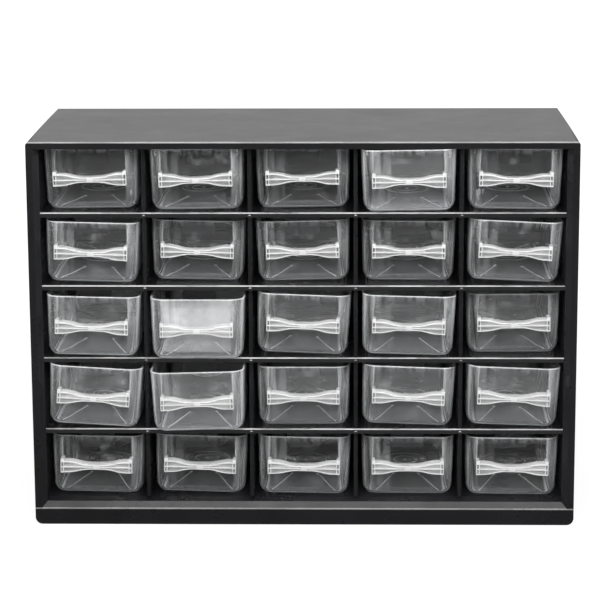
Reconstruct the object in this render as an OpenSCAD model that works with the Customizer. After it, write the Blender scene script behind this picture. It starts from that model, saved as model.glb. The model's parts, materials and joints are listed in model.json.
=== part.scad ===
// Parts bin cabinet: a black moulded carcass with a grid of shelves and dividers,
// and a clear sliding drawer in every cell of the grid.
// Millimetres. X to the right, Y to the back, Z up; origin at the middle of the base.

/* [Cabinet] */
// Width across the front
cabinet_w = 375; // [330:1:450]
// Depth from the front frame to the back
cabinet_d = 160; // [130:1:200]
// Height of the whole cabinet
cabinet_h = 270; // [262:1:278]
// How much each side draws in from front to back
side_draft = 3; // [1:0.5:4]
// Height of the plinth up to the lowest drawer floor
plinth_h = 17.5; // [16:0.5:22]
// Plain wall thickness of the carcass
wall = 2.4; // [2:0.1:3]

/* [Front frame] */
// Width of each side of the front frame, flat and slope together
stile_w = 8.3; // [7:0.1:11]
// Width of the slope on the inner edge of the frame
slope_w = 3.8; // [2:0.1:4.5]
// Depth of that slope, which is how far the shelves stand back
slope_d = 3.8; // [2:0.1:5]
// Height of the flat face of the bottom rail
bottom_rail_h = 11.4; // [10:0.1:14]
// Height of the top rail
top_rail_h = 5.2; // [4:0.1:6]
// Depth of the skirt of the cap
skirt_h = 9.5; // [8:0.5:14]
// Radius of the bottom corners seen from the front
foot_r = 5; // [3:0.5:8]
// Radius of the top corners seen from the front
shoulder_r = 3; // [2:0.5:5]
// Radius of the long edges of the cap
edge_r = 1.5; // [0.8:0.1:2.2]

/* [Grid] */
// Thickness of a shelf
shelf_t = 2.4; // [2:0.1:3]
// Height of the thickened front edge of a shelf
nose_h = 3.5; // [3:0.1:4]
// Thickness of an upright divider
divider_t = 2.8; // [2:0.1:3.2]
// Width of a drawer stop
stop_w = 23; // [14:1:30]
// How far a drawer stop hangs below its shelf
stop_h = 15.5; // [12:0.5:17]
// Thickness of a drawer stop
stop_t = 2.2; // [1.5:0.1:3]

/* [Drawers] */
// Clearance at each side of a drawer, at its rim
side_gap = 2.2; // [1.6:0.1:4]
// Clearance over a drawer, up to the shelf edge
head_gap = 4.3; // [3.6:0.1:6]
// Clearance over the top row of drawers, up to the top rail
rail_gap = 1.1; // [0.9:0.1:2]
// How far a closed drawer stands behind the shelf edges
drawer_setback = 9.8; // [6:0.1:12]
// Wall thickness of a drawer
drawer_t = 1.5; // [1.2:0.1:2]
// Draft of the drawer sides in degrees
drawer_draft = 2; // [1:0.5:3]
// Lean of the drawer front in degrees
front_lean = 4; // [2:0.5:6]
// Radius of the two front corners seen from above
front_corner_r = 10; // [6:0.5:12]
// Length of the pull
pull_w = 50; // [48:1:54]
// How far the pull stands in front of the rim
pull_reach = 7.5; // [5:0.5:9]
// Thickness of the pull at its waist
pull_waist = 3.6; // [2.6:0.1:4.2]
// Thickness of the pull at its ends
pull_end = 8.2; // [6.6:0.1:8.3]

/* [Hidden] */
$fn = 64;
cols = 5;
rows = 5;
half_w = cabinet_w / 2;
front_y = -cabinet_d / 2;
back_y = cabinet_d / 2;
// Side of the housing at a given depth, and the plane of the inner side walls
function side_x(y) = half_w - side_draft * (y - front_y) / cabinet_d;
inner_x = half_w - stile_w;
liner_t = 2;
col_pitch = (2 * inner_x + divider_t) / cols;
// Centre of a column, counted 1 to 5 from the left, and floor of a row, counted from the top
function col_x(c) = (c - (cols + 1) / 2) * col_pitch;
function floor_z(r) = plinth_h + (rows - r) * row_pitch;
cap_z = cabinet_h - skirt_h;
cap_t = 2.8;
ceiling_z = cabinet_h - cap_t;
rail_z = cabinet_h - top_rail_h;
// The shelves share out the height between the plinth and the top rail
row_pitch = (rail_z - rail_gap - plinth_h + nose_h + head_gap) / rows;

// The floor of the lowest row runs down to the frame over this height and length
lip_drop = 1.8;
lip_run = 5;
// Ribs of the open underside, and the underside of the lowest floor
base_rib_t = 2;
base_rib_x = 60;
base_top_z = plinth_h - wall - lip_drop / 2;

nose_y = front_y + slope_d;
panel_t = 2.4;
panel_y = back_y - panel_t;
rib_reach = 3.8;
grid_back_y = panel_y - 4;
grid_mid_y = (nose_y + grid_back_y) / 2;
lap_gap = 0.1;
ledge_w = 1.2;
ledge_h = 1.5;
divider_setback = 1.5;
peg_r = 1.1;
stop_y = nose_y + 15;

slide_gap = 0.2;
drawer_w = col_pitch - divider_t - 2 * side_gap;
drawer_h = row_pitch - nose_h - head_gap;
drawer_y = nose_y + drawer_setback;
drawer_d = panel_y - rib_reach - slide_gap - drawer_y;
side_foot_r = 7;
front_foot_r = 6;
back_foot_r = 4;
back_corner_r = 6;
pull_z = 22.3;
plate_t = 2.4;
plate_up = 5.8;
plate_down = 4.2;
waist_x = 4.5;
curve_run = 16.5;
flange_t = 0.8;
core_back = 1.2;
core_x = 8;
// Each drawer is shown as it stands, pulled out of the fully closed place by these millimetres
PULLED = [
    [5, 9, 2, 15, 9],
    [10, 2, 4, 2, 9],
    [15, 21, 10, 13, 3],
    [15, 25, 7, 10, 12],
    [4, 4, 6, 5, 7]
];
// and leaning in its loose cell, down on the right by these degrees
LEAN = [
    [-0.8, -0.8, -0.8, -0.8, 0.8],
    [1.5, 1, -1.3, 0.4, 2.7],
    [1.3, 0, 2.2, 1.5, -0.3],
    [3.4, -1.5, -0.1, 2.1, 2.1],
    [1, 1.6, 0.9, 0.2, 0.6]
];

FIXED = ["housing", "top_panel", "back_panel"];
SHELVES = [for (k = [1:rows - 1]) str("shelf_", k)];
DIVIDERS = [for (k = [1:cols - 1]) str("divider_", k)];
DRAWERS = [for (r = [1:rows]) for (c = [1:cols]) str("drawer_r", r, "c", c)];

// Stands a profile drawn in X and Z upright, reaching from y0 to y1
module along_y(y0, y1) {
    translate([0, y1, 0]) rotate([90, 0, 0]) linear_extrude(y1 - y0) children();
}

// Stands a profile drawn in Y and Z upright, reaching from x0 to x1
module along_x(x0, x1) {
    translate([x0, 0, 0]) rotate([90, 0, 90]) linear_extrude(x1 - x0) children();
}

// Flat box between two corners
module block(a, b) {
    translate(a) cube(b - a);
}

// Rectangle with a radius on its two lower and its two upper corners
module rounded_rect(x0, x1, z0, z1, r_low, r_high) {
    r = max(r_low, r_high);
    union() {
        translate([x0, z0 + r_low]) square([x1 - x0, z1 - z0 - r_low - r_high]);
        translate([x0 + r_low, z0]) square([x1 - x0 - 2 * r_low, r]);
        translate([x0 + r_high, z1 - r]) square([x1 - x0 - 2 * r_high, r]);
        for (x = [x0 + r_low, x1 - r_low]) translate([x, z0 + r_low]) circle(r_low);
        for (x = [x0 + r_high, x1 - r_high]) translate([x, z1 - r_high]) circle(r_high);
    }
}

// Outline of the cabinet seen from above, drawing in to the back, moved in by t all round
module plan(t = 0, y0 = front_y, y1 = back_y) {
    polygon([
        [-side_x(y0) + t, y0], [side_x(y0) - t, y0],
        [side_x(y1) - t, y1], [-side_x(y1) + t, y1]
    ]);
}

// Outer block of the cabinet between two heights, with its front corners rounded
module outer_block(z0, z1) {
    intersection() {
        translate([0, 0, z0]) linear_extrude(z1 - z0) plan();
        along_y(front_y, back_y) rounded_rect(-half_w, half_w, 0, cabinet_h, foot_r, shoulder_r);
    }
}

// Slope on the inner edge of the frame: both sides and the bottom, mitred at the corners
module frame_slope() {
    intersection() {
        translate([0, 0, -1]) linear_extrude(cabinet_h + 2) polygon([
            [-inner_x - slope_w, front_y], [inner_x + slope_w, front_y],
            [inner_x, nose_y], [-inner_x, nose_y]
        ]);
        along_x(-half_w, half_w) polygon([
            [front_y, bottom_rail_h], [nose_y, plinth_h - lip_drop], [nose_y, rail_z], [front_y, rail_z]
        ]);
    }
}

// Everything that is open inside the frame, behind the slope
module grid_space() {
    block([-inner_x, nose_y, plinth_h], [inner_x, panel_y, ceiling_z]);
    along_x(-inner_x, inner_x) polygon([
        [nose_y, plinth_h - lip_drop], [nose_y + lip_run, plinth_h],
        [nose_y + lip_run, plinth_h + 1], [nose_y, plinth_h + 1]
    ]);
}

// Open underside of the plinth, stiffened by two ribs from front to back and one along the middle
module underside() {
    low_x = side_x(back_y) - wall;
    difference() {
        block([-low_x, front_y + wall + slope_d, -1], [low_x, back_y - wall, base_top_z]);
        for (x = [-base_rib_x, base_rib_x])
            block([x - base_rib_t / 2, front_y, -2], [x + base_rib_t / 2, back_y, plinth_h]);
        block([-half_w, -base_rib_t / 2, -2], [half_w, base_rib_t / 2, plinth_h]);
    }
}

// Narrow pocket inside one side wall, open at the top under the cap
module side_pocket() {
    x0 = inner_x + liner_t;
    y0 = front_y + 9;
    y1 = back_y - 12;
    translate([0, 0, plinth_h + wall]) linear_extrude(cabinet_h) polygon([
        [x0, y0], [side_x(y0) - wall, y0], [side_x(y1) - wall, y1], [x0, y1]
    ]);
}

// Ledges on the side walls, one under each end of every shelf
module shelf_ledges() {
    for (k = [1:rows - 1], s = [-1, 1]) {
        z1 = floor_z(k) - shelf_t;
        x0 = s > 0 ? inner_x - ledge_w : -inner_x - 0.5;
        block([x0, nose_y + 6, z1 - ledge_h], [x0 + ledge_w + 0.5, grid_back_y, z1]);
    }
}

module housing() {
    panel_x = side_x(back_y) - wall;
    color("#17181a") union() {
        difference() {
            outer_block(0, cap_z);
            frame_slope();
            grid_space();
            underside();
            side_pocket();
            mirror([1, 0, 0]) side_pocket();
            block([-panel_x, panel_y, plinth_h], [panel_x, back_y + 1, cabinet_h]);
        }
        shelf_ledges();
    }
}

// Round-cornered tab that hangs from the point above the middle of a drawer
module drawer_stop(z) {
    r = 2.5;
    along_y(stop_y, stop_y + stop_t) union() {
        translate([-stop_w / 2, z - stop_h + r]) square([stop_w, stop_h - r + 0.6]);
        translate([-stop_w / 2 + r, z - stop_h]) square([stop_w - 2 * r, 2 * r]);
        for (s = [-1, 1]) translate([s * (stop_w / 2 - r), z - stop_h + r]) circle(r);
    }
}

module top_panel() {
    color("#6f6f70") union() {
        difference() {
            intersection() {
                outer_block(cap_z, cabinet_h);
                along_x(-half_w, half_w) union() {
                    translate([front_y, cap_z - 1]) square([cabinet_d, skirt_h + 1 - edge_r]);
                    translate([front_y + edge_r, cap_z]) square([cabinet_d - 2 * edge_r, skirt_h]);
                    for (y = [front_y + edge_r, back_y - edge_r])
                        translate([y, cabinet_h - edge_r]) circle(edge_r);
                }
            }
            frame_slope();
            block([-inner_x, nose_y - 0.1, cap_z - 1], [inner_x, back_y - wall, ceiling_z]);
            block([-inner_x, front_y - 1, cap_z - 1], [inner_x, nose_y, rail_z]);
            translate([0, 0, cap_z - 1]) linear_extrude(ceiling_z - cap_z + 1)
                plan(wall, front_y + 9, back_y - wall);
        }
        for (c = [1:cols]) translate([col_x(c), 0, 0]) drawer_stop(ceiling_z);
        cap_tongues();
    }
}

// Tongues under the cap that drop into the side pockets and hold the walls upright
module cap_tongues() {
    for (s = [-1, 1], y = [-50, -15, 20]) {
        x0 = inner_x + liner_t + 0.15;
        block([s > 0 ? x0 : -x0 - 1, y, cap_z - 5], [s > 0 ? x0 + 1 : -x0, y + 14, ceiling_z + 0.5]);
    }
}

// Keyhole through the back, wide below and narrow above
module keyhole() {
    along_y(panel_y - 1, back_y + 1) union() {
        circle(4.5);
        translate([-2.25, 0]) square([4.5, 9]);
        translate([0, 9]) circle(2.25);
    }
}

module back_panel() {
    panel_x = side_x(back_y) - wall;
    key_x = 125;
    key_z = floor_z(1) + row_pitch / 2 - 8;
    color("#1c1d1f") difference() {
        union() {
            block([-panel_x, panel_y, plinth_h], [panel_x, back_y, cap_z]);
            for (r = [1:rows])
                block([-inner_x + 1, panel_y - rib_reach, floor_z(r) + 13],
                      [inner_x - 1, panel_y + 0.5, floor_z(r) + 15]);
        }
        for (s = [-1, 1]) translate([s * key_x, 0, key_z]) keyhole();
    }
}

// Shelf k: plate with a thick rounded front edge, five drawer stops below, and slots
// from the back that the dividers pass through
module shelf(k) {
    z = floor_z(k);
    end_gap = 0.1;
    x1 = inner_x - end_gap;
    top_r = 1.3;
    slot_w = divider_t + 2 * lap_gap;
    color("#1a1b1d") union() {
        difference() {
            along_x(-x1, x1) union() {
                translate([nose_y + top_r, z - shelf_t]) square([grid_back_y - nose_y - top_r, shelf_t]);
                translate([nose_y, z - nose_h]) square([3.2, nose_h - top_r]);
                translate([nose_y + top_r, z - nose_h]) square([3.2 - top_r, nose_h]);
                translate([nose_y + top_r, z - top_r]) circle(top_r);
            }
            for (d = [1:cols - 1])
                translate([col_x(d) + col_pitch / 2 - slot_w / 2, grid_mid_y, z - 10])
                    cube([slot_w, cabinet_d, 20]);
        }
        for (c = [1:cols]) translate([col_x(c), 0, 0]) drawer_stop(z - shelf_t);
        for (d = [1:cols - 1])
            translate([col_x(d) + col_pitch / 2, nose_y + 0.5, z - 2.1]) rotate([90, 0, 0])
                cylinder(r = peg_r, h = 0.9);
    }
}

// Divider k: upright plate with a round front edge and slots from the front for the shelves
module divider(k) {
    x = col_x(k) + col_pitch / 2;
    y0 = nose_y + divider_setback;
    slot_h = shelf_t + 2 * lap_gap;
    edge = divider_t / 2;
    color("#1a1b1d") difference() {
        union() {
            block([x - edge, y0 + edge, plinth_h], [x + edge, grid_back_y, ceiling_z]);
            translate([x, y0 + edge, plinth_h]) cylinder(r = edge, h = ceiling_z - plinth_h);
        }
        for (r = [1:rows - 1]) {
            z = floor_z(r) - shelf_t / 2;
            block([x - 5, front_y, z - slot_h / 2], [x + 5, grid_mid_y, z + slot_h / 2]);
            block([x - 5, front_y, floor_z(r) - nose_h - lap_gap],
                  [x + 5, nose_y + 3.2 + lap_gap, floor_z(r) + lap_gap]);
        }
        block([x - 5, front_y, -1], [x + 5, nose_y + 5, plinth_h + 1]);
    }
}

// Where a wall that leans out by a degrees meets the floor in a fillet r:
// the centre of the fillet, and the height at which it runs into the wall
function foot_centre(x, a, r) = x + r * tan(a) - r / cos(a);
function foot_top(a, r) = r - r * sin(a);

// Profile of a tub from b0 to b1 at the floor, each wall leaning out, filleted at the floor.
// The fillet circles are a hair large, so that the straight sides trim them cleanly.
module tub_profile(b0, b1, a0, a1, r0, r1, z1) {
    ease = 0.01;
    c0 = -foot_centre(-b0, a0, r0);
    c1 = foot_centre(b1, a1, r1);
    wide = b1 - b0;
    intersection() {
        polygon([[b0, 0], [b1, 0], [b1 + z1 * tan(a1), z1], [b0 - z1 * tan(a0), z1]]);
        union() {
            translate([c0, -1]) square([c1 - c0, z1]);
            translate([b0 - wide, foot_top(a0, r0)]) square([wide * 1.5, z1]);
            translate([b0 + wide / 2, foot_top(a1, r1)]) square([wide * 1.5, z1]);
            translate([c0, r0]) circle(r0 + ease);
            translate([c1, r1]) circle(r1 + ease);
        }
    }
}

// Rounded plan of a drawer, moved in by t all round
module drawer_plan(t) {
    w = drawer_w / 2 - t;
    f = front_corner_r - t;
    b = back_corner_r - t;
    union() {
        translate([-w, t + f]) square([2 * w, drawer_d - 2 * t - f - b]);
        translate([-w + f, t]) square([2 * (w - f), 2 * f]);
        translate([-w + b, drawer_d - t - 2 * b]) square([2 * (w - b), 2 * b]);
        for (s = [-1, 1]) {
            translate([s * (w - f), t + f]) circle(f);
            translate([s * (w - b), drawer_d - t - b]) circle(b);
        }
    }
}

// Solid tub, moved in by t, its floor at z = t and its rim at z1
module tub(t, z1) {
    w = drawer_w / 2 - drawer_h * tan(drawer_draft) - t;
    y0 = drawer_h * tan(front_lean) + t;
    y1 = drawer_d - drawer_h * tan(drawer_draft) - t;
    translate([0, 0, t]) intersection() {
        along_y(-5, drawer_d + 5)
            tub_profile(-w, w, drawer_draft, drawer_draft, side_foot_r - t, side_foot_r - t, z1 - t);
        along_x(-drawer_w, drawer_w)
            tub_profile(y0, y1, front_lean, drawer_draft, front_foot_r - t, back_foot_r - t, z1 - t);
        linear_extrude(z1 - t) drawer_plan(t);
    }
}

// The pull seen from the front, thinner by t above and below:
// flat ends, a double curve down on each side, flat waist
module pull_profile(t = 0) {
    drop = (pull_end - pull_waist) / 2;
    curve_r = (curve_run * curve_run + drop * drop) / (4 * drop);
    end_x = waist_x + curve_run;
    mid_x = waist_x + curve_run / 2;
    low = pull_waist / 2 - t;
    high = pull_end / 2 - t;
    for (flip = [0, 1], side = [0, 1]) mirror([0, flip]) mirror([side, 0]) union() {
        translate([-0.5, -0.5]) square([waist_x + 0.5, low + 0.5]);
        translate([end_x, -0.5]) square([pull_w / 2 - end_x, high + 0.5]);
        difference() {
            translate([waist_x - 0.5, -0.5]) square([curve_run / 2 + 0.5, low + drop / 2 + 0.5]);
            translate([waist_x, low + curve_r]) circle(curve_r);
        }
        intersection() {
            translate([mid_x, -0.5]) square([curve_run / 2 + 0.5, high + 0.5]);
            translate([end_x, high - curve_r]) circle(curve_r);
        }
    }
}

// The pull: a bar with a thin waist between two upright end plates, cored from the front
// outside its solid waist, so that an upper and a lower flange and a rib along the middle are left
module pull() {
    y1 = (drawer_h - pull_z) * tan(front_lean) + 1;
    plate_x = (pull_w - plate_t) / 2;
    slot_w = 1.2;
    slot_z = 3;
    slot_depth = 2.5;
    translate([0, 0, pull_z]) difference() {
        along_y(-pull_reach, y1) union() {
            pull_profile();
            for (s = [-1, 1])
                translate([s * plate_x - plate_t / 2, -plate_down]) square([plate_t, plate_up + plate_down]);
        }
        along_y(-pull_reach - 1, -core_back) difference() {
            pull_profile(flange_t);
            translate([-pull_w / 2, -flange_t / 2]) square([pull_w, flange_t]);
            translate([-core_x, -pull_end]) square([2 * core_x, 2 * pull_end]);
            for (s = [-1, 1])
                translate([s * pull_w / 2 - plate_t, -pull_end]) square([2 * plate_t, 2 * pull_end]);
        }
        for (s = [-1, 1], up = [-1, 1])
            along_y(-pull_reach - 1, -pull_reach + slot_depth)
                translate([s * plate_x, up * (slot_z + flange_t / 2) / 2])
                    square([slot_w, slot_z - flange_t / 2], center = true);
    }
}

// Thin upright ribs on the front wall, from the ends of the pull to the rim
module label_ribs() {
    proud = 0.5;
    rib_w = 0.7;
    z0 = pull_z + plate_up - 1;
    z1 = drawer_h - 0.4;
    y0 = (drawer_h - z0) * tan(front_lean);
    y1 = (drawer_h - z1) * tan(front_lean);
    for (s = [-1, 1]) {
        x = s * (pull_w / 2 - rib_w);
        along_x(x - rib_w / 2, x + rib_w / 2)
            polygon([[y0 - proud, z0], [y0 + 1, z0], [y1 + 1, z1], [y1 - proud, z1]]);
    }
}

// Pairs of upright ribs on the side walls that a partition would slide between
module partition_guides() {
    gap = 2.4;
    rib_w = 1;
    for (part = [0.2, 0.5, 0.8], s = [-1, 1], e = [-1, 1])
        intersection() {
            tub(drawer_t - 0.5, drawer_h - 2);
            translate([s * (drawer_w / 2 - 2), drawer_d * part + e * (gap + rib_w) / 2, drawer_h / 2])
                cube([3.4, rib_w, drawer_h], center = true);
        }
}

// Low rings and a disc in the middle of the floor, and a rib running in from each corner
// that ends in a small round boss
module floor_relief() {
    sunk = 0.3;
    h = sunk + 0.5;
    rib_w = 1;
    in_x = 10;
    out_x = drawer_w / 2 - 11.5;
    in_y = drawer_d / 2 - 34;
    out_y = drawer_d / 2 - 8;
    run = norm([out_x - in_x, out_y - in_y]);
    translate([0, drawer_d / 2 + 2, drawer_t - sunk]) {
        for (r = [16, 8.5]) difference() {
            cylinder(r = r + rib_w / 2, h = h);
            translate([0, 0, -1]) cylinder(r = r - rib_w / 2, h = h + 2);
        }
        cylinder(r = 3, h = h);
        for (sx = [-1, 1], sy = [-1, 1]) translate([sx * in_x, sy * in_y, 0]) {
            rotate([0, 0, atan2(sy * (out_y - in_y), sx * (out_x - in_x))])
                translate([0, -rib_w / 2, 0]) cube([run, rib_w, h]);
            cylinder(r = 1.1, h = h);
        }
    }
}

// Turns a drawer about the fillet of its lower foot, so that this foot stays on the shelf
module leaning(a) {
    foot_w = drawer_w / 2 - drawer_h * tan(drawer_draft);
    foot_x = (a < 0 ? -1 : 1) * foot_centre(foot_w, drawer_draft, side_foot_r);
    sway = (drawer_h / 2 - side_foot_r) * sin(a);
    translate([foot_x - sway, 0, side_foot_r]) rotate([0, a, 0])
        translate([-foot_x, 0, -side_foot_r]) children();
}

module drawer(r, c) {
    color("#c9ccd0", 0.45)
    translate([col_x(c), drawer_y - PULLED[r - 1][c - 1], floor_z(r) + slide_gap])
    leaning(LEAN[r - 1][c - 1]) union() {
        difference() {
            tub(0, drawer_h);
            tub(drawer_t, drawer_h + 1);
        }
        partition_guides();
        floor_relief();
        pull();
        label_ribs();
    }
}

housing();
top_panel();
back_panel();
for (k = [1:rows - 1]) shelf(k);
for (k = [1:cols - 1]) divider(k);
for (r = [1:rows], c = [1:cols])
    drawer(r, c);
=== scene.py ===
import json
import math

import bmesh
import bpy
from mathutils import Matrix, Vector

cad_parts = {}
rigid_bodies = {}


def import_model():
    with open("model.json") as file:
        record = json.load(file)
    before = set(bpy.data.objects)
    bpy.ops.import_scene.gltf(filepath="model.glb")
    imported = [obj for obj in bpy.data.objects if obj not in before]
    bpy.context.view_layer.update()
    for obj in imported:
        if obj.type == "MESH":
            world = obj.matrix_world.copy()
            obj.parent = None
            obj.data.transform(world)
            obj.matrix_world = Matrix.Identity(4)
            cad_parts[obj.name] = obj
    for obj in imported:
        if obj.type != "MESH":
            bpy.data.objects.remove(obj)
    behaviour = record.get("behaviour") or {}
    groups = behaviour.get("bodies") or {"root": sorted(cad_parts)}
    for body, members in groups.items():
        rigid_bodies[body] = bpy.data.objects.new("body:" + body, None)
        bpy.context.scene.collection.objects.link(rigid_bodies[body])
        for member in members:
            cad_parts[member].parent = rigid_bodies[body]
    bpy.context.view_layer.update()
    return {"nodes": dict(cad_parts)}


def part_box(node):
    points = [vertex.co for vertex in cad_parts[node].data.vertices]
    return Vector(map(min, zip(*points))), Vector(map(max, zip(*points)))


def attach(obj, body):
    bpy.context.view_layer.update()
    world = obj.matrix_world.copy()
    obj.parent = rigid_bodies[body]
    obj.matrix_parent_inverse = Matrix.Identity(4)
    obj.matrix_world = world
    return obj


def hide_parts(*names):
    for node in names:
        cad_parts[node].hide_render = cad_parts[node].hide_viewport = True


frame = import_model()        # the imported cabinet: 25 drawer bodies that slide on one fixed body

MM = 0.001


def box_mm(node):
    """Lowest and highest corner of a CAD node at rest, in millimetres."""
    return [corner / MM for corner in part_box(node)]


# ---------------------------------------------------------------- sizes, in millimetres
ROWS = COLS = 5
FRONT_Y = box_mm("housing")[0].y
CAB_H = box_mm("top_panel")[1].z
RAIL_TOP = 11.4                # where the bottom rail's slope begins
EDGE_R = 0.35                  # rounding of the black pieces' sharp edges
SHARP = math.radians(35)       # an edge that turns by more than this is sharp

# The small round ends of the dividers' hooks
NUB_R, NUB_OUT, NUB_SUNK = 1.6, 0.5, 0.6
NUB_DROP = 2.8                 # below the top of the shelf
NUB_TIP_R = 0.05
NUB_RINGS, NUB_SIDES = 5, 20

# The drawer, as in part.scad. Heights count from its underside, and y from the top of its front.
level_lo, level_hi = box_mm("drawer_r3c2")         # this one stands level
PULL_REACH = 7.5
DR_W = level_hi.x - level_lo.x
DR_H = level_hi.z - level_lo.z
DR_L = level_hi.y - level_lo.y - PULL_REACH
WALL = 1.5
SIDE_DRAFT = math.radians(2)
FRONT_LEAN = math.radians(4)
FRONT_R = (8.5, 10.0)          # corner radius at the floor and at the rim
BACK_R = (5.0, 6.0)
FOOT_R = (7.0, 6.0, 4.0)       # fillet along the floor: sides, front, back
RIM_R = 0.4
CORNER_STEPS = 8
FOOT_ANGLES = (0, 15, 30, 45, 60, 75, 90)
RIM_ANGLES = (0, 30, 60, 90)
WALL_LEVELS = (20.0, 33.0)     # rings of points between the fillet and the rim

# Its pull: a bow-tie bar between two end plates, with four pockets and four small windows
PULL_Z = 22.3
PULL_W = 50.0
PULL_WAIST, PULL_END = 3.6, 8.2
WAIST_X, CURVE_RUN = 4.5, 16.5 # where the waist ends, and from there to the full height
PULL_SUNK = 0.75               # into the wall
EASE, EASE_MID = 0.25, 0.07    # its front edges are eased by this, by way of a point this far in
BAR_SHORT, BAR_STEPS = 0.5, 48 # the bar ends this far inside the outer faces of the plates
PLATE_T = 2.4
PLATE_UP, PLATE_DOWN = 5.8, 4.2
FLANGE_T = 0.8
CORE_X, CORE_BACK = 2.2, 1.2   # where the pockets begin, and how far in front of y = 0 they end
CORE_STEPS = 16
WINDOW = (0.7, 0.45, 3.2)      # half its width, and its lower and upper edge from PULL_Z
WINDOW_BACK = 1.1
CUT_PAST = 1                   # the hollows start this far in front of the pull

# Its small ribs, as width, height and depth of the sunk foot
RIB_STEPS = 6
UPRIGHT_RIB = (0.7, 0.5, 0.6)
GUIDE_RIB = (1.0, 0.5, 0.5)
FLOOR_RIB = (1.0, 0.5, 0.4)
UPRIGHT_X = 24.3               # thin uprights from the ends of the pull to the rim
UPRIGHT_ENDS = (PULL_Z + PLATE_UP - 1, DR_H - 0.5)
GUIDE_PLACES = (0.2, 0.5, 0.8) # pairs of guides for partitions, as shares of the length
GUIDE_HALF_GAP = 1.7
GUIDE_ENDS = (4.0, DR_H - 2)
RING_Y = 86.0                  # rings in the middle of the floor
RING_RADII = (16.4, 8.9)
RING_STEPS = 64
BOSS_PROFILE = ((0, -0.4), (0, 0.2), (0.12, 0.42), (0.4, 0.5))   # inset and height above the floor
MIDDLE_BOSS = (1.3, 24)        # radius and sides
CORNER_BOSS = (1.1, 16)
CORNER_RUN_X = (22.0, 9.5)     # the ribs in the corners of the floor: outer and inner end
CORNER_RUNS_Y = ((9.5, 50.0), (133.0, 116.0))

# How each drawer leans in its loose cell, in degrees, down on the right, as in part.scad
LEAN = [
    [-0.8, -0.8, -0.8, -0.8, 0.8],
    [1.5, 1, -1.3, 0.4, 2.7],
    [1.3, 0, 2.2, 1.5, -0.3],
    [3.4, -1.5, -0.1, 2.1, 2.1],
    [1, 1.6, 0.9, 0.2, 0.6],
]

# Share of the plastic that is milky on the front and the floor of the drawers of each row, which
# paints
# # light and shade by row: lighter fronts in rows 3 and 4 and a darker floor in row 5. Three drawers
# are given more of it
ROW_PAINTED_LIGHT = ((0.008, 0.075), (0.01, 0.075), (0.035, 0.055), (0.045, 0.05), (0.0, 0.015))
DRAWER_MILKINESS = {(3, 2): (0.34, 0.05), (1, 4): (0.045, 0.3), (4, 2): (0.06, 0.05)}
PAINTED_BAND_LEVELS = 4                # the streaked band of painted reflection on the fronts comes in this many strengths


# ---------------------------------------------------------------- camera
CAM_POS = (38.08, -1586.5 + FRONT_Y, 518.52)
CAM_PITCH = math.radians(11.8987)
CAM_YAW = math.radians(-1.3795)
CAM_ROLL = math.radians(-0.2738)
CAM_F_PX = 2379.4
CAM_SHIFT_Y = -0.06
CAM_CLIP = (0.05, 50)          # in metres
FRAME_PX = 605.0
SENSOR = 36.0


def make_camera():
    """The photograph's camera, fitted to the outline of the cabinet."""
    cp, sp = math.cos(CAM_PITCH), math.sin(CAM_PITCH)
    cy, sy = math.cos(CAM_YAW), math.sin(CAM_YAW)
    cr, sr = math.cos(CAM_ROLL), math.sin(CAM_ROLL)
    forward = Vector((sy * cp, cy * cp, -sp))
    right = Vector((cy, -sy, 0))
    up = right.cross(forward)
    right, up = cr * right + sr * up, -sr * right + cr * up
    data = bpy.data.cameras.new("camera")
    data.sensor_width = SENSOR
    data.lens = CAM_F_PX / FRAME_PX * SENSOR
    data.shift_y = CAM_SHIFT_Y
    data.clip_start, data.clip_end = CAM_CLIP
    camera = bpy.data.objects.new("camera", data)
    bpy.context.scene.collection.objects.link(camera)
    basis = Matrix((right, up, -forward)).transposed()
    camera.matrix_world = Matrix.Translation(Vector(CAM_POS) * MM) @ basis.to_4x4()
    bpy.context.scene.camera = camera


make_camera()


# ---------------------------------------------------------------- mesh helpers
def new_object(name, bm, materials=()):
    """A mesh object from bmesh data in millimetres."""
    bmesh.ops.recalc_face_normals(bm, faces=bm.faces)
    mesh = bpy.data.meshes.new(name)
    bm.to_mesh(mesh)
    bm.free()
    mesh.transform(Matrix.Scale(MM, 4))
    for material in materials:
        mesh.materials.append(material)
    obj = bpy.data.objects.new(name, mesh)
    bpy.context.scene.collection.objects.link(obj)
    return obj


def smooth(mesh):
    for polygon in mesh.polygons:
        polygon.use_smooth = True


def turn(steps):
    """Angles of equal steps round a full turn."""
    return [2 * math.pi * k / steps for k in range(steps)]


def skin(bm, one, two):
    """Faces between two rings of vertices."""
    after = [*range(1, len(one)), 0]
    return [bm.faces.new((one[i], one[j], two[j], two[i])) for i, j in enumerate(after)]


def loft(bm, sections, slot=0):
    """Joins closed rings of equal length into a skin, and closes both ends."""
    rings = [[bm.verts.new(p) for p in ring] for ring in sections]
    faces = [face for one, two in zip(rings, rings[1:]) for face in skin(bm, one, two)]
    faces.append(bm.faces.new(rings[0][::-1]))
    faces.append(bm.faces.new(rings[-1]))
    for face in faces:
        face.material_index = slot


def solid(sections, slot=0):
    """A lofted solid, as a bmesh of its own."""
    bm = bmesh.new()
    loft(bm, sections, slot)
    return bm


def half_round(width, height, sunk):
    """Section of a low moulded rib: (across, up), from one sunk foot to the other."""
    arc = [(-math.cos(math.pi * k / RIB_STEPS) * width / 2, math.sin(math.pi * k / RIB_STEPS) * height)
           for k in range(RIB_STEPS + 1)]
    return [(-width / 2, -sunk)] + arc + [(width / 2, -sunk)]


# ---------------------------------------------------------------- the clear drawer
BODY_SLOT, PULL_SLOT = 0, 1    # material slots of its mesh
ROUND = [(corner, -math.pi / 2 + math.pi / 2 * (corner + k / CORNER_STEPS))
         for corner in range(4) for k in range(CORNER_STEPS + 1)]


def half_width(z):
    return DR_W / 2 - (DR_H - z) * math.tan(SIDE_DRAFT)


def front_y(z):
    """Outside of the front wall at height z."""
    return (DR_H - z) * math.tan(FRONT_LEAN)


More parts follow.
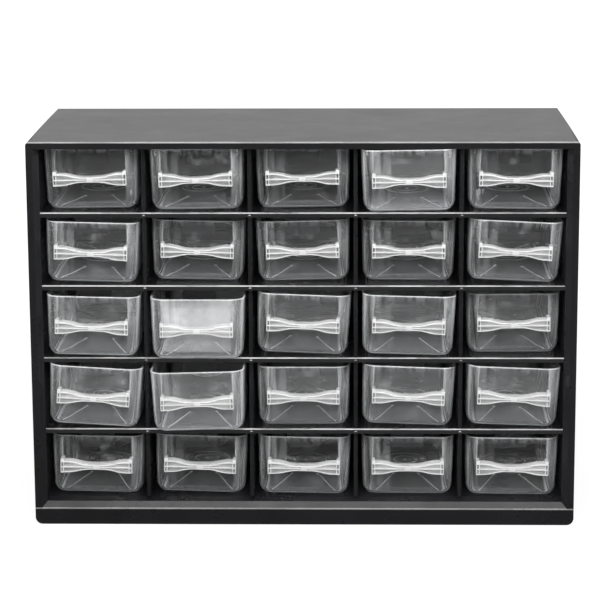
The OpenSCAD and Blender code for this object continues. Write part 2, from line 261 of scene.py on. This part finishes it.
def wall_point(z, corner, theta, inset):
    """Point of the drawer's wall at height z: on a corner arc, moved in from the outside."""
    y1 = DR_L - (DR_H - z) * math.tan(SIDE_DRAFT)
    side, back = ((1, 0), (1, 1), (-1, 1), (-1, 0))[corner]
    low, high = BACK_R if back else FRONT_R
    r = low + (high - low) * (z / DR_H)
    cx = side * (half_width(z) - r)
    cy = y1 - r if back else front_y(z) + r
    return Vector((cx + (r - inset) * math.cos(theta), cy + (r - inset) * math.sin(theta), z))


def foot_radius(theta):
    """Fillet along the floor where the wall faces theta: it blends from side to front or back."""
    side, front, back = FOOT_R
    s, c = math.sin(theta), math.cos(theta)
    return side * c * c + (back if s > 0 else front) * s * s


def tub_sections():
    """Rings from the underside, up the outside, over the rim and down the inside."""
    foot_arc = [math.radians(a) for a in FOOT_ANGLES]
    rim_arc = [math.radians(a) for a in RIM_ANGLES]

    def foot(phi, inset):
        ring = []
        for corner, theta in ROUND:
            r = foot_radius(theta) - inset
            ring.append(wall_point(inset + r * (1 - math.cos(phi)), corner, theta,
                                   inset + r * (1 - math.sin(phi))))
        return ring

    def level(z, inset):
        return [wall_point(z, corner, theta, inset) for corner, theta in ROUND]

    def rim(phi, inner):
        inset = RIM_R * (1 - math.cos(phi))
        return level(DR_H - RIM_R * (1 - math.sin(phi)), WALL - inset if inner else inset)

    return [*(foot(phi, 0) for phi in foot_arc),
            *(level(z, 0) for z in WALL_LEVELS),
            *(rim(phi, False) for phi in rim_arc),
            *(rim(phi, True) for phi in reversed(rim_arc)),
            *(level(z, WALL) for z in reversed(WALL_LEVELS)),
            *(foot(phi, WALL) for phi in reversed(foot_arc))]


def pull_height(x):
    """Half the height of the pull's bow-tie at x from its middle."""
    low, high = PULL_WAIST / 2, PULL_END / 2
    share = min(max((abs(x) - WAIST_X) / CURVE_RUN, 0), 1)
    rise = 2 * share ** 2 if share < 0.5 else 1 - 2 * (1 - share) ** 2
    return low + (high - low) * rise


def pull_bar():
    """The bow-tie bar, with eased front edges."""
    back, front = front_y(PULL_Z) + PULL_SUNK, -PULL_REACH
    sections = []
    for k in range(BAR_STEPS + 1):
        x = -PULL_W / 2 + BAR_SHORT + k * (PULL_W - 2 * BAR_SHORT) / BAR_STEPS
        h = pull_height(x)
        sections.append([Vector((x, y, PULL_Z + z)) for y, z in (
            (back, -h), (front + EASE, -h), (front + EASE_MID, -h + EASE_MID), (front, -h + EASE),
            (front, h - EASE), (front + EASE_MID, h - EASE_MID), (front + EASE, h), (back, h))])
    return solid(sections, PULL_SLOT)


def pull_plate(side):
    """An end plate, with eased edges round its front."""
    back, front = front_y(PULL_Z) + PULL_SUNK, -PULL_REACH
    x, half = side * (PULL_W - PLATE_T) / 2, PLATE_T / 2
    middle = (PLATE_UP - PLATE_DOWN) / 2
    outline = [(x - half + EASE, -PLATE_DOWN), (x + half - EASE, -PLATE_DOWN),
               (x + half, -PLATE_DOWN + EASE), (x + half, PLATE_UP - EASE),
               (x + half - EASE, PLATE_UP), (x - half + EASE, PLATE_UP),
               (x - half, PLATE_UP - EASE), (x - half, -PLATE_DOWN + EASE)]

    def ring(y, inset):
        return [Vector((px - math.copysign(inset, px - x), y,
                        PULL_Z + (pz - math.copysign(inset, pz - middle)))) for px, pz in outline]

    return solid([ring(back, 0), ring(front + EASE, 0), ring(front + EASE_MID, EASE_MID),
                  ring(front, EASE)], PULL_SLOT)


def pull_pocket(side, up):
    """A hollow between the rib along the bar's middle and one of its flanges."""
    front, end = -PULL_REACH - CUT_PAST, PULL_W / 2 - PLATE_T
    sections = []
    for k in range(CORE_STEPS + 1):
        x = CORE_X + (end - CORE_X) * k / CORE_STEPS
        low, high = FLANGE_T / 2, pull_height(x) - FLANGE_T
        sections.append([Vector((side * x, y, PULL_Z + up * z)) for y, z in (
            (front, low), (-CORE_BACK, low), (-CORE_BACK, high), (front, high))])
    return solid(sections, PULL_SLOT)


def pull_window(side, up):
    """A small hollow down the length of an end plate, nearly to the wall."""
    x = side * (PULL_W - PLATE_T) / 2
    half, low, high = WINDOW
    corners = ((-half, low), (half, low), (half, high), (-half, high))
    return solid([[Vector((x + dx, y, PULL_Z + up * z)) for dx, z in corners]
                  for y in (-PULL_REACH - CUT_PAST, WINDOW_BACK)], BODY_SLOT)


def upright_rib(side):
    """A thin upright on the front wall."""
    return solid([[Vector((side * UPRIGHT_X + u, front_y(z) - v, z))
                   for u, v in half_round(*UPRIGHT_RIB)] for z in UPRIGHT_ENDS])


def guide_rib(place, side, edge):
    """One of the two ribs that hold the edge of a partition, on the inside of a side wall."""
    return solid([[Vector((side * (half_width(z) - WALL - v),
                           DR_L * place + edge * GUIDE_HALF_GAP + u, z))
                   for u, v in half_round(*GUIDE_RIB)] for z in GUIDE_ENDS])


def floor_ring(radius):
    """A low round ring on the floor."""
    bm = bmesh.new()
    rings = [[bm.verts.new(((radius + u) * math.cos(a), RING_Y + (radius + u) * math.sin(a), WALL + v))
              for u, v in half_round(*FLOOR_RIB)] for a in turn(RING_STEPS)]
    for one, two in zip(rings, rings[1:] + rings[:1]):
        skin(bm, one, two)
    return bm


def floor_boss(x, y, radius, sides):
    """A low round boss on the floor."""
    return solid([[Vector((x + (radius - inset) * math.cos(a), y + (radius - inset) * math.sin(a),
                           WALL + z)) for a in turn(sides)] for inset, z in BOSS_PROFILE])


def corner_rib(side, y_ends):
    """A rib that runs in from a corner of the floor."""
    outer, inner = (Vector((side * x, y, WALL)) for x, y in zip(CORNER_RUN_X, y_ends))
    along = outer - inner
    across = Vector((-along.y, along.x, 0)).normalized()
    return solid([[end + across * u + Vector((0, 0, v)) for u, v in half_round(*FLOOR_RIB)]
                  for end in (inner, outer)])


def rib_pieces():
    """Closed solids of the small ribs, rings and bosses moulded on the drawer."""
    pieces = [upright_rib(side) for side in (-1, 1)]
    pieces += [guide_rib(place, side, edge)
               for place in GUIDE_PLACES for side in (-1, 1) for edge in (-1, 1)]
    pieces += [floor_ring(radius) for radius in RING_RADII]
    pieces.append(floor_boss(0, RING_Y, *MIDDLE_BOSS))
    for side in (-1, 1):
        for y_ends in CORNER_RUNS_Y:
            pieces.append(floor_boss(side * CORNER_RUN_X[1], y_ends[1], *CORNER_BOSS))
            pieces.append(corner_rib(side, y_ends))
    return pieces


def gather(name, items):
    """A collection of throwaway objects for one boolean."""
    group = bpy.data.collections.new(name)
    for item in items:
        obj = new_object(name, item)
        bpy.context.scene.collection.objects.unlink(obj)
        group.objects.link(obj)
    return group


def boolean(obj, group, operation):
    """Applies one boolean with every object of the group, and drops the group."""
    bpy.context.scene.collection.children.link(group)
    modifier = obj.modifiers.new("cut", "BOOLEAN")
    modifier.operation = operation
    modifier.solver = "EXACT"
    modifier.operand_type = "COLLECTION"
    modifier.collection = group
    modifier.material_mode = "INDEX"
    bpy.context.view_layer.update()
    depsgraph = bpy.context.evaluated_depsgraph_get()
    mesh = bpy.data.meshes.new_from_object(obj.evaluated_get(depsgraph))
    obj.modifiers.clear()
    old = obj.data
    obj.data = mesh
    bpy.data.meshes.remove(old)
    for part in list(group.objects):
        data = part.data
        bpy.data.objects.remove(part)
        bpy.data.meshes.remove(data)
    bpy.data.collections.remove(group)


def make_drawer_mesh(materials):
    """The whole drawer as one mesh: the tub, joined with its ribs and its hollowed pull."""
    tub = new_object("drawer_mesh", solid(tub_sections(), BODY_SLOT), materials)
    pull = new_object("pull_mesh", pull_bar(), materials)
    boolean(pull, gather("plates", [pull_plate(side) for side in (-1, 1)]), "UNION")
    boolean(pull, gather("cores", [cut(side, up) for side in (-1, 1) for up in (-1, 1)
                                   for cut in (pull_pocket, pull_window)]), "DIFFERENCE")
    group = gather("ribs", rib_pieces())
    bpy.context.scene.collection.objects.unlink(pull)
    group.objects.link(pull)
    boolean(tub, group, "UNION")
    mesh = tub.data
    bpy.data.objects.remove(tub)
    mesh.name = "clear_drawer"
    smooth(mesh)
    mesh.set_sharp_from_angle(angle=SHARP)
    return mesh


# ---------------------------------------------------------------- node helpers
def adder(tree):
    """A helper that adds a node, and sets its sockets or links them where a value is a socket."""
    def add(kind, values=None, **settings):
        node = tree.nodes.new(kind)
        for key, value in settings.items():
            setattr(node, key, value)
        for socket, value in (values or {}).items():
            if isinstance(value, bpy.types.NodeSocket):
                tree.links.new(value, node.inputs[socket])
            else:
                node.inputs[socket].default_value = value
        return node

    return add


def shader(name):
    """A new material, its node tree, its Principled node and the helper that adds nodes."""
    material = bpy.data.materials.new(name)
    material.use_nodes = True
    tree = material.node_tree
    return material, tree, tree.nodes["Principled BSDF"], adder(tree)


def noise(add, coords, scale, detail, rough):
    return add("ShaderNodeTexNoise", {"Vector": coords, "Scale": scale, "Detail": detail,
                                      "Roughness": rough}).outputs["Fac"]


def spread(add, value, low, high, to_low, to_high):
    """Maps the range low..high of a value to to_low..to_high."""
    return add("ShaderNodeMapRange", {"Value": value, "From Min": low, "From Max": high,
                                      "To Min": to_low, "To Max": to_high}).outputs["Result"]


def mixed(add, share, one, two):
    """Colour one where the share is 0, and two where it is 1."""
    return add("ShaderNodeMix", {"Factor": share, 6: one, 7: two}, data_type="RGBA").outputs[2]


def calc(add, operation, *values):
    return add("ShaderNodeMath", dict(enumerate(values)), operation=operation).outputs[0]


def chain(add, operation, *values):
    """Joins several values by one operation."""
    total = values[0]
    for value in values[1:]:
        total = calc(add, operation, total, value)
    return total


def bumpy(add, tree, principled, height, strength, distance):
    """Gives a material a bump; the distance is in metres."""
    bump = add("ShaderNodeBump", {"Strength": strength, "Distance": distance, "Height": height})
    tree.links.new(bump.outputs["Normal"], principled.inputs["Normal"])


# ---------------------------------------------------------------- materials
DUST_TONE = (0.45, 0.45, 0.46, 1)
DUST_CELLS = 70.0              # cells to the metre, of which some hold a speck
DUST_R = (0.028, 0.045)        # from the solid middle of a speck to its edge
DUST_MOST, DUST_SOFT = 0.35, 0.02
GRAIN_DEPTH, FLOW_DEPTH = 0.2 * MM, 1 * MM
CLEAR_IOR = 1.5
MOST_HAZE = 0.85               # the milkiest that a clear piece gets anywhere

# Places on the drawer that its material knows, in millimetres. A turn is the sine of the angle
# between the skin and the plane of the front.
FRONT_ENDS_Y = (5, 9)          # from the front to the walls behind it
OUTSIDE_Y, OUTSIDE_Z = 11, (0.1, 0.3)      # the outside of the front lies before and above these
FADE_Z, FADE = (8, 26), 0.25   # the painted highlight of its border is fainter towards the foot
FLAT_FACING = (0.985, 0.995)   # how squarely the flat of the front faces forward
BORDER_TURN = (0.14, 0.2)      # where its rounded border begins
CONTOUR_TURN, CORNER_TURN, OUTLINE_TURN = 0.24, 0.86, 0.03   # its two outlines, painted as highlight lines, and half their width
CORNER_FADE_Z, CORNER_FADE = (3, 20), 0.7
UPRIGHT_HALF, UPRIGHT_Z, UPRIGHT_Y = 0.18, (28, 29), 3
FLOOR_TOP_Z = (WALL + 0.5, WALL + 0.6)
RELIEF_FROM_Z, RELIEF_TO_Z = (WALL + 0.05, WALL + 0.25), (WALL + 0.6, WALL + 0.8)
RIM_Z = (DR_H - 0.9, DR_H - 0.4)
LIP_Y = (-PULL_REACH + 0.2, -PULL_REACH + 0.4)
REFLECTION_BAND_X, REFLECTION_BAND_LEAST = (-12.5, -11.8), 0.3   # the streaked band of painted reflection lies to the left of this
STREAK_SQUEEZE = 0.05          # the share of height in the noise, which draws it out into streaks

EDGE_FACING = (-0.28, -0.42)   # y times z of the way an edge faces, from plain to the full painted highlight
RAIL_EDGE_HALF, RAIL_EDGE_DEPTH = (0.35, 0.6), (0.6, 0.8)    # soft limits of the painted highlight line


def moulded(name, dark, pale, rough, specular, grain, grain_scale, specks):
    """Moulded plastic: cloudy tone, uneven gloss, fine grain, and a few pale specks of dust."""
    material, tree, principled, add = shader(name)
    coords = add("ShaderNodeTexCoord").outputs["Object"]
    cloud = noise(add, coords, scale=9.0, detail=4.0, rough=0.6)
    tone = mixed(add, spread(add, cloud, 0.35, 0.68, 0, 1), (*dark, 1), (*pale, 1))
    cells = add("ShaderNodeTexVoronoi",
                {"Vector": coords, "Scale": DUST_CELLS, "Randomness": 1.0}).outputs
    dot = spread(add, cells["Distance"], *DUST_R, 1, 0)
    chance = add("ShaderNodeSeparateColor", {"Color": cells["Color"]}).outputs["Red"]
    dusty = spread(add, chance, 1 - specks, 1 - specks + DUST_SOFT, 0, DUST_MOST)
    tree.links.new(mixed(add, calc(add, "MULTIPLY", dot, dusty), tone, DUST_TONE),
                   principled.inputs["Base Color"])
    smear = noise(add, coords, scale=26.0, detail=5.0, rough=0.65)
    tree.links.new(spread(add, smear, 0.3, 0.7, *rough), principled.inputs["Roughness"])
    principled.inputs["Specular IOR Level"].default_value = specular
    fine = noise(add, coords, scale=grain_scale, detail=2.0, rough=0.5)
    bumpy(add, tree, principled, fine, strength=grain, distance=GRAIN_DEPTH)
    return material


def clear(name, tint, haze, rough, flow, lamps):
    """Clear moulded plastic that lets a share of the lamps' light through. Haze is the share of
    milky plastic at each place. Most of it paints light: highlights along the rim, relief, border,
    outlines, uprights and the pull's lip, a veil of reflection on the walls, and a band of
    reflection. Each drawer's own share, painted row light and milkiness, adds to its front and floor."""
    material, tree, principled, add = shader(name)

    def times(*factors):
        return chain(add, "MULTIPLY", *factors)

    def step(value, low, high, to_low=0.0, to_high=1.0):
        """Goes from to_low to to_high as a place in millimetres goes from low to high."""
        return spread(add, value, low * MM, high * MM, to_low, to_high)

    def line(value, at, half, strength):
        """A soft line where the value is near this one."""
        off = calc(add, "ABSOLUTE", calc(add, "SUBTRACT", value, at))
        return spread(add, off, half, half * 2, strength, 0)

    where = add("ShaderNodeTexCoord").outputs
    coords = where["Object"]
    x, y, z = add("ShaderNodeSeparateXYZ", {0: coords}).outputs
    nx, ny, nz = (calc(add, "ABSOLUTE", part)
                  for part in add("ShaderNodeSeparateXYZ", {0: where["Normal"]}).outputs)
    cloud = noise(add, coords, scale=30.0, detail=4.0, rough=0.6)
    dimmer = (*(part * 0.97 for part in tint), 1)
    tree.links.new(mixed(add, cloud, dimmer, (*tint, 1)), principled.inputs["Base Color"])

    # Where on the drawer: behind its front or on it, on the flat of the front, on its outside, and
    # high up on it
    behind = step(y, *FRONT_ENDS_Y)
    ahead = calc(add, "SUBTRACT", 1.0, behind)
    flat = times(spread(add, ny, *FLAT_FACING, 0, 1), ahead)
    outside = times(calc(add, "LESS_THAN", y, OUTSIDE_Y * MM), step(z, *OUTSIDE_Z))
    upper = step(z, *FADE_Z, FADE, 1)
    skin_turn = calc(add, "SQRT", calc(add, "ADD", times(nx, nx), times(nz, nz)))

    # What varies: clouds, upright streaks, and smudges that differ from drawer to drawer
    clouded = spread(add, cloud, 0.3, 0.75, 0.5, 1.5)
    squeezed = add("ShaderNodeCombineXYZ", {0: x, 1: y, 2: times(z, STREAK_SQUEEZE)}).outputs[0]
    streaks = spread(add, noise(add, squeezed, scale=360.0, detail=2.0, rough=0.5),
                     0.4, 0.6, 0.15, 1.5)
    drawer = add("ShaderNodeObjectInfo").outputs
    front_painted_light_and_milk, band_painted_reflection, floor_painted_light_and_milk = add("ShaderNodeSeparateColor", {0: drawer["Color"]}).outputs
    moved = add("ShaderNodeVectorMath", {0: coords, 1: drawer["Random"]}, operation="ADD").outputs[0]
    smudge = spread(add, noise(add, moved, scale=75.0, detail=3.0, rough=0.7),
                    0.56, 0.7, 0, haze["smudge"])

    milky = chain(
        add, "ADD",
        # the walls behind the front, milkier than the front as a painted veil of reflection, and the
        # front itself
        times(clouded, calc(add, "MULTIPLY_ADD", behind, haze["walls"] - haze["front"],
                            haze["front"])),
        # the floor, by its painted row light and milkiness, and painted highlights on the rim and the
        # low relief on the floor
        times(step(z, *FLOOR_TOP_Z, haze["floor"], 0), behind, clouded, floor_painted_light_and_milk),
        step(z, *RIM_Z, 0, haze["rim"]),
        times(step(z, *RELIEF_FROM_Z), step(z, *RELIEF_TO_Z, haze["relief"], 0)),
        # painted highlights on the rounded border of the front, and on its inner and outer outline
        times(spread(add, skin_turn, *BORDER_TURN, 0, haze["border"]), streaks, outside, upper),
        times(line(skin_turn, CONTOUR_TURN, OUTLINE_TURN, haze["contour"]), outside, upper),
        times(line(skin_turn, CORNER_TURN, OUTLINE_TURN, haze["corner"]), outside,
              step(z, *CORNER_FADE_Z, CORNER_FADE, 1)),
        # painted highlight lines on the uprights over the ends of the pull
        times(line(times(calc(add, "ABSOLUTE", x), 1 / MM), UPRIGHT_X, UPRIGHT_HALF, haze["upright"]),
              step(z, *UPRIGHT_Z), calc(add, "LESS_THAN", y, UPRIGHT_Y * MM)),
        times(flat, smudge),
        # painted highlight on the lip round the front of the pull
        times(step(y, *LIP_Y, haze["lip"], 0), ahead),
        # the streaked band of painted reflection at the left of the front, and the front's painted row
        # light and milkiness
        times(streaks, step(x, *REFLECTION_BAND_X, haze["band"], 0),
              spread(add, band_painted_reflection, 0, 1, REFLECTION_BAND_LEAST, 1), flat),
        times(flat, clouded, front_painted_light_and_milk),
    )
    tree.links.new(calc(add, "SUBTRACT", 1.0, calc(add, "MINIMUM", milky, MOST_HAZE)),
                   principled.inputs["Transmission Weight"])

    smear = noise(add, coords, scale=55.0, detail=4.0, rough=0.6)
    tree.links.new(spread(add, smear, 0.35, 0.7, *rough), principled.inputs["Roughness"])
    principled.inputs["IOR"].default_value = CLEAR_IOR
    wave = noise(add, coords, scale=45.0, detail=1.0, rough=0.4)
    bumpy(add, tree, principled, wave, strength=flow, distance=FLOW_DEPTH)

    shadow = calc(add, "MULTIPLY", add("ShaderNodeLightPath").outputs["Is Shadow Ray"], lamps)
    passed = add("ShaderNodeBsdfTransparent").outputs[0]
    both = add("ShaderNodeMixShader", {0: shadow, 1: principled.outputs[0], 2: passed})
    tree.links.new(both.outputs[0], tree.nodes["Material Output"].inputs["Surface"])
    return material


def paint_edge_highlight(material, tone, mask, least):
    """Pales a material where the mask is 1, a painted highlight along an edge, unevenly: at least by
    this share of its full strength. The mask is made from the place and from the way it faces."""
    tree = material.node_tree
    add = adder(tree)
    where = add("ShaderNodeTexCoord").outputs
    place = add("ShaderNodeSeparateXYZ", {0: where["Object"]}).outputs
    facing = add("ShaderNodeSeparateXYZ", {0: where["Normal"]}).outputs
    patchy = spread(add, noise(add, where["Object"], scale=30.0, detail=4.0, rough=0.6),
                    0.38, 0.6, least, 1.15)
    share = calc(add, "MULTIPLY", mask(add, place, facing), patchy)
    colour = tree.nodes["Principled BSDF"].inputs["Base Color"]
    plain = colour.links[0].from_socket
    tree.links.new(mixed(add, share, plain, (tone, tone, tone, 1)), colour)


def rounding(add, place, facing):
    """1 where a front edge turns from upright to level, so that it faces forward and up: the place of
    a painted highlight.
    """
    return spread(add, calc(add, "MULTIPLY", facing[2], facing[1]), *EDGE_FACING, 0, 1)


def rail_edge(add, place, facing):
    """1 along the line where the bottom slope meets the upright bottom rail: the place of a painted
    highlight line.
    """
    off = calc(add, "ABSOLUTE", calc(add, "SUBTRACT", place[2], RAIL_TOP * MM))
    front = spread(add, place[1], *((FRONT_Y + depth) * MM for depth in RAIL_EDGE_DEPTH), 1, 0)
    return calc(add, "MULTIPLY", spread(add, off, *(half * MM for half in RAIL_EDGE_HALF), 1, 0),
                front)


black = moulded(
    "black_plastic", dark=(0.009, 0.009, 0.010), pale=(0.015, 0.015, 0.017), rough=(0.22, 0.38),
    specular=0.27, grain=0.06, grain_scale=900.0, specks=0.06)
shelf_black = moulded(
    "black_gloss_plastic", dark=(0.009, 0.009, 0.010), pale=(0.014, 0.014, 0.016),
    rough=(0.06, 0.32), specular=0.8, grain=0.03, grain_scale=700.0, specks=0.06)
divider_black = moulded(
    "black_divider_plastic", dark=(0.011, 0.011, 0.012), pale=(0.018, 0.018, 0.020),
    rough=(0.2, 0.4), specular=0.2, grain=0.04, grain_scale=700.0, specks=0.06)
cap_plastic = moulded(
    "cap_plastic", dark=(0.014, 0.014, 0.015), pale=(0.018, 0.018, 0.019), rough=(0.31, 0.36),
    specular=0.12, grain=0.12, grain_scale=1400.0, specks=0.02)
# Painted highlights: a pale line along the edge of the bottom rail, and pale rounded front edges on
# the shelves and the top panel
paint_edge_highlight(black, tone=0.26, mask=rail_edge, least=0.7)
paint_edge_highlight(shelf_black, tone=0.42, mask=rounding, least=0.3)
paint_edge_highlight(cap_plastic, tone=0.36, mask=rounding, least=0.75)

# Milky shares of the drawer and its pull. Apart from the faint front and the smudges, they paint
# light: a veil of reflection on the walls, row light on the floor, highlights on the rim, relief,
# border, outlines, uprights and the pull's lip, and a band of reflection. The pull is milky all over,
# which paints the light caught inside the clear pull.
BODY_HAZE_AND_PAINTED_LIGHT = {"front": 0.003, "walls": 0.09, "floor": 1.0, "rim": 0.4, "relief": 0.8, "border": 0.15,
             "contour": 0.08, "corner": 0.3, "upright": 0.16, "smudge": 0.07, "lip": 0.0,
             "band": 0.08}
PULL_HAZE_AND_PAINTED_LIGHT = dict.fromkeys(BODY_HAZE_AND_PAINTED_LIGHT, 0.0) | {"front": 0.42, "walls": 0.42, "lip": 0.5}
clear_body = clear("clear_plastic", tint=(0.95, 0.96, 0.97), haze=BODY_HAZE_AND_PAINTED_LIGHT, rough=(0.02, 0.05),
                   flow=0.03, lamps=0.85)
clear_pull = clear("clear_pull_plastic", tint=(0.97, 0.97, 0.97), haze=PULL_HAZE_AND_PAINTED_LIGHT, rough=(0.08, 0.2),
                   flow=0.05, lamps=0.6)


# ---------------------------------------------------------------- the black pieces
SOFTENED = ("housing", "top_panel", "back_panel")
FINISHES = {"top_panel": cap_plastic, "shelf": shelf_black, "divider": divider_black}


def soften(obj):
    """Rounds the sharp edges of a carried-over solid a little, so that they catch light."""
    weld = obj.modifiers.new("weld", "WELD")
    weld.merge_threshold = 0.002 * MM
    bevel = obj.modifiers.new("edges", "BEVEL")
    bevel.width = EDGE_R * MM
    bevel.segments = 2
    bevel.limit_method = "ANGLE"
    bevel.angle_limit = SHARP
    bevel.harden_normals = True
    bevel.use_clamp_overlap = True


def dress_black_pieces():
    """Gives the carried-over solids their finish."""
    for name, obj in frame["nodes"].items():
        if name.startswith("drawer_r"):
            continue
        if name in SOFTENED:
            soften(obj)
        finish = next((f for start, f in FINISHES.items() if name.startswith(start)), black)
        obj.data.materials.clear()
        obj.data.materials.append(finish)


def add_nubs():
    """The small round ends of the dividers' hooks, in the shelves' front edges."""
    bm = bmesh.new()
    for col in range(1, COLS):
        lo, hi = box_mm(f"divider_{col}")
        for row in range(1, ROWS):
            shelf_lo, shelf_hi = box_mm(f"shelf_{row}")
            middle = Vector(((lo.x + hi.x) / 2, shelf_lo.y, shelf_hi.z - NUB_DROP))
            rings = []
            for k in range(NUB_RINGS):
                a = math.radians(90 / (NUB_RINGS - 1) * k)
                r = NUB_R * math.cos(a) if k < NUB_RINGS - 1 else NUB_TIP_R
                y = NUB_SUNK - (NUB_SUNK + NUB_OUT) * math.sin(a)
                rings.append([middle + Vector((r * math.cos(t), y, r * math.sin(t)))
                              for t in turn(NUB_SIDES)])
            loft(bm, rings)
    nubs = new_object("divider_nubs", bm, (shelf_black,))
    smooth(nubs.data)
    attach(nubs, "cabinet")


dress_black_pieces()
add_nubs()


# ---------------------------------------------------------------- the drawers
drawer_mesh = make_drawer_mesh((clear_body, clear_pull))


def place_drawer(row, col):
    """Puts a clear drawer where its CAD solid is, at the same lean, with its own painted light and
    milkiness.
    """
    node = f"drawer_r{row}c{col}"
    lo, hi = box_mm(node)
    lean = Matrix.Rotation(math.radians(LEAN[row - 1][col - 1]), 4, "Y")
    points = [lean @ (v.co / MM) for v in drawer_mesh.vertices]
    mid_x = (min(p.x for p in points) + max(p.x for p in points)) / 2
    low_z = min(p.z for p in points)
    place = Vector(((lo.x + hi.x) / 2 - mid_x, lo.y + PULL_REACH, lo.z - low_z))
    obj = bpy.data.objects.new(f"clear_{node}", drawer_mesh)
    bpy.context.scene.collection.objects.link(obj)
    # The drawer's object colour carries the painted light of its row on its front and floor, with more
    # milkiness on three drawers, and the strength of its painted reflection band
    front_painted_light_and_milk, floor_painted_light_and_milk = DRAWER_MILKINESS.get((row, col), ROW_PAINTED_LIGHT[row - 1])
    band_painted_reflection = (row * 7 + col * 5) % PAINTED_BAND_LEVELS / (PAINTED_BAND_LEVELS - 1)
    obj.color = (front_painted_light_and_milk, band_painted_reflection, floor_painted_light_and_milk, 1)
    obj.matrix_world = Matrix.Translation(place * MM) @ lean
    bpy.context.view_layer.update()
    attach(obj, node)
    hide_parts(node)


for r in range(1, ROWS + 1):
    for c in range(1, COLS + 1):
        place_drawer(r, c)


# ---------------------------------------------------------------- studio
ROOM_LIGHT = 0.2               # the room in front of the cabinet, as reflections see it
AMBIENT = 0.35                 # the world's light on matt surfaces
HORIZON = (-0.3, 0.3)          # from the room in front to the white behind, as a direction's y
FLOOR = 4000.0                 # half its side, in millimetres
FLOOR_TONE = (0.2, 0.2, 0.2, 1)
FLOOR_ROUGH = 0.9
FLOOR_FAR = (0.35, 1.1)        # metres from the middle, from the floor near the cabinet to far away
FLOOR_SHOWN = (0.86, 1.0)      # what the camera sees of it there, besides the light it gets
FLOOR_BACK = (-0.1, 0.05)      # y in metres, from the floor in front to the floor beside and behind
FLOOR_MIRRORED = (0, 0.6)      # what reflections see of it there
WHITE = (1, 1, 1, 1)


def ray_kind(add, *kinds):
    """1 for rays of these kinds and 0 for others."""
    path = add("ShaderNodeLightPath").outputs
    return chain(add, "MAXIMUM", *(path[kind] for kind in kinds))


def seen_straight(add):
    """1 for camera rays, and for those that come through clear plastic without a mirror bounce."""
    path = add("ShaderNodeLightPath").outputs
    direct = calc(add, "LESS_THAN", path["Glossy Depth"], 0.5)
    return calc(add, "MULTIPLY_ADD", path["Is Transmission Ray"], direct, path["Is Camera Ray"])


def make_world():
    """White to the camera and through clear plastic. Reflections see it white behind the cabinet
    and dim in front, where the room is."""
    world = bpy.data.worlds.new("studio")
    bpy.context.scene.world = world
    world.use_nodes = True
    tree = world.node_tree
    add = adder(tree)
    direction = add("ShaderNodeTexCoord").outputs["Generated"]
    y = add("ShaderNodeSeparateXYZ", {0: direction}).outputs[1]
    room = spread(add, y, *HORIZON, ROOM_LIGHT, 1.0)
    bounced = ray_kind(add, "Is Glossy Ray", "Is Transmission Ray")
    mirrored = spread(add, bounced, 0, 1, AMBIENT, room)
    background = tree.nodes["Background"]
    background.inputs["Color"].default_value = WHITE
    tree.links.new(spread(add, seen_straight(add), 0, 1, mirrored, 1.0),
                   background.inputs["Strength"])


def make_floor():
    """A pale floor that keeps the shadow, and that reflections see beside and behind the cabinet."""
    bm = bmesh.new()
    for x, y in ((-FLOOR, -FLOOR), (FLOOR, -FLOOR), (FLOOR, FLOOR), (-FLOOR, FLOOR)):
        bm.verts.new((x, y, 0))
    bm.faces.new(bm.verts)
    material, tree, principled, add = shader("pale_floor")
    principled.inputs["Base Color"].default_value = FLOOR_TONE
    principled.inputs["Roughness"].default_value = FLOOR_ROUGH
    principled.inputs["Specular IOR Level"].default_value = 0.0
    principled.inputs["Emission Color"].default_value = WHITE
    place = add("ShaderNodeTexCoord").outputs["Object"]
    y = add("ShaderNodeSeparateXYZ", {0: place}).outputs[1]
    beside = spread(add, y, *FLOOR_BACK, *FLOOR_MIRRORED)
    away = add("ShaderNodeVectorMath", {0: place}, operation="LENGTH").outputs["Value"]
    shown = spread(add, away, *FLOOR_FAR, *FLOOR_SHOWN)
    mirrored = spread(add, ray_kind(add, "Is Glossy Ray"), 0, 1, 0.0, beside)
    tree.links.new(spread(add, seen_straight(add), 0, 1, mirrored, shown),
                   principled.inputs["Emission Strength"])
    new_object("floor", bm, (material,))


def soft_light(name, place, size, radiance):
    """A rectangular softbox of the given radiance, aimed at the middle of the cabinet."""
    data = bpy.data.lights.new(name, "AREA")
    data.shape = "RECTANGLE"
    data.size, data.size_y = (s * MM for s in size)
    data.energy = radiance * math.pi * data.size * data.size_y
    lamp = bpy.data.objects.new(name, data)
    bpy.context.scene.collection.objects.link(lamp)
    aim = Vector((0, 0, CAB_H / 2)) - Vector(place)
    lamp.location = Vector(place) * MM
    lamp.rotation_euler = aim.to_track_quat("-Z", "Y").to_euler()


make_world()
make_floor()
bpy.context.scene.view_settings.view_transform = "Standard"
soft_light("key", place=(0, -900, 1135), size=(900, 900), radiance=7)
for side in (-1, 1):
    soft_light("side_fill", place=(side * 1500, -700, 500), size=(400, 1100), radiance=4)
soft_light("back_fill", place=(0, 1300, 1600), size=(1200, 900), radiance=1.8)
